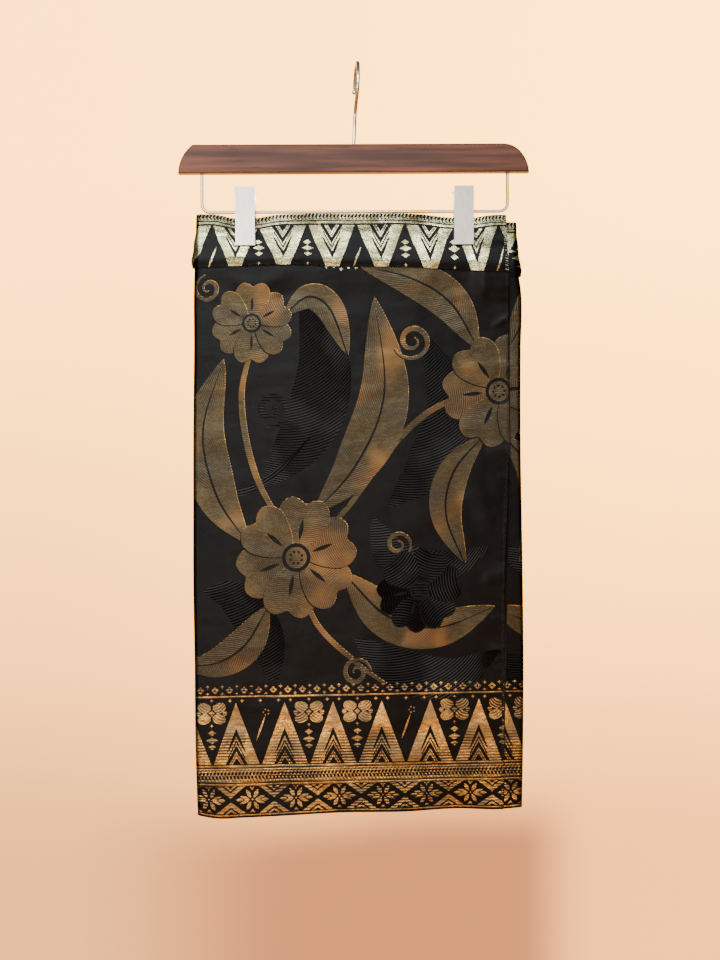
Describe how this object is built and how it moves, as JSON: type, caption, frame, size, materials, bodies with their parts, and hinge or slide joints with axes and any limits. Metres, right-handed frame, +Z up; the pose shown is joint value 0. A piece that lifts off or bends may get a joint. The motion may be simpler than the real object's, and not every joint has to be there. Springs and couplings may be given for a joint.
{
  "type": "sampin on a clip hanger",
  "caption": "Brocade hip cloth folded into a flat roll with a tucked waist, hung by its waist from a wooden clip hanger with a wire hook.",
  "frame": {"origin": "inside top of the hook, where it rests on a rail", "axes": "+Z up, +X to the viewer's right along the bar, -Y towards the viewer and the flap's side"},
  "size_m": [0.3503, 0.0474, 0.7557],
  "materials": {
    "cloth_ground": "black satin ground with woven gold-thread motifs",
    "cloth_band": "gold-thread border on black satin",
    "walnut": "stained walnut, satin varnish",
    "polished_wire": "polished nickel wire",
    "satin_plate": "satin nickel plate",
    "pad_rubber": "matt black"
  },
  "bodies": {
    "root": {"flap_body": "cloth_ground", "back_body": "cloth_ground", "under_body": "cloth_ground", "inner_layers": "cloth_ground", "flap_band": "cloth_band", "back_band": "cloth_band", "under_band": "cloth_band", "hanger_bar": "walnut", "hook": "polished_wire", "wire_frame": "polished_wire", "clip_left_front": "satin_plate", "clip_left_back": "satin_plate", "clip_right_front": "satin_plate", "clip_right_back": "satin_plate", "clip_left_spring": "polished_wire", "clip_right_spring": "polished_wire", "clip_left_pad_front": "pad_rubber", "clip_left_pad_back": "pad_rubber", "clip_right_pad_front": "pad_rubber", "clip_right_pad_back": "pad_rubber"}
  },
  "joints": []
}
